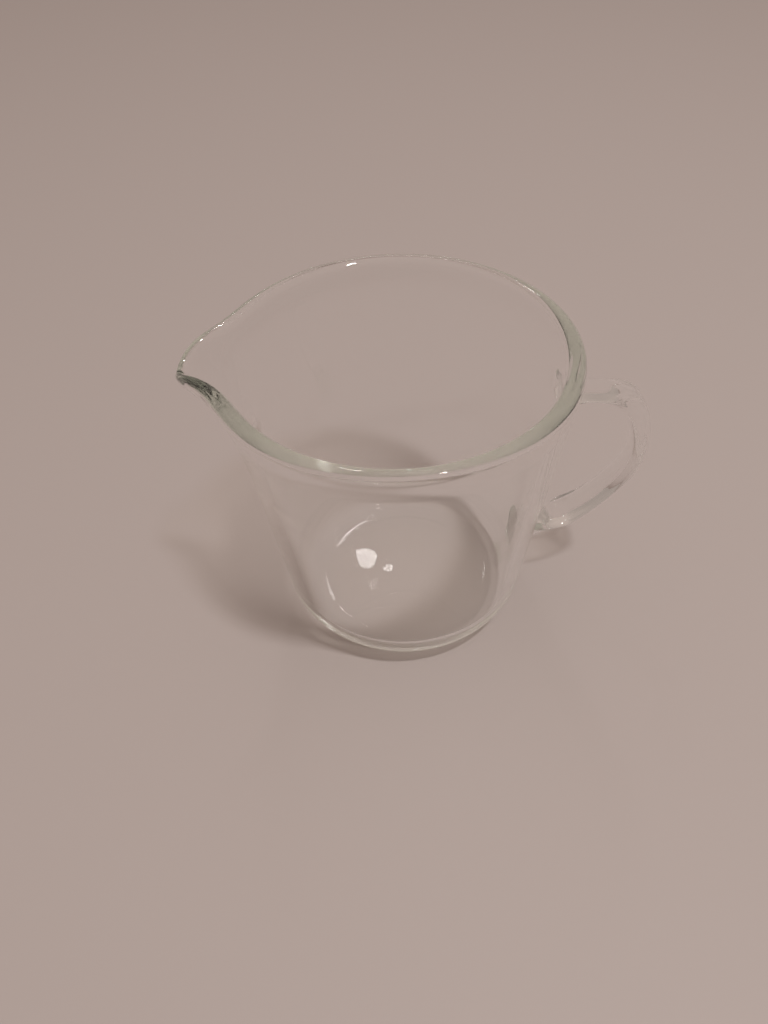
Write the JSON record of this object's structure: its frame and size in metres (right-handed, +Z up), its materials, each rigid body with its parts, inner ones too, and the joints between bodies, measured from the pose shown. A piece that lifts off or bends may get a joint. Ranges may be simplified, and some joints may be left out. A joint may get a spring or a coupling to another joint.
{
  "type": "glass pouring jug",
  "caption": "Clear glass jug with a tapered bucket-shaped vessel, thick rounded rim, pulled pouring spout and a C-shaped strap handle fused to its side.",
  "frame": {"origin": "on the vessel's axis at the plane of the foot ring, where the jug rests", "axes": "+Z up along the vessel's axis, +X to the handle, -X to the spout; XZ is the plane of symmetry"},
  "size_m": [0.1782, 0.133, 0.126],
  "materials": {
    "vessel_glass": "clear soda-lime glass with a faint green tint",
    "handle_glass": "clear glass, fire polished"
  },
  "bodies": {
    "root": {"vessel": "vessel_glass", "handle": "handle_glass"}
  },
  "joints": []
}
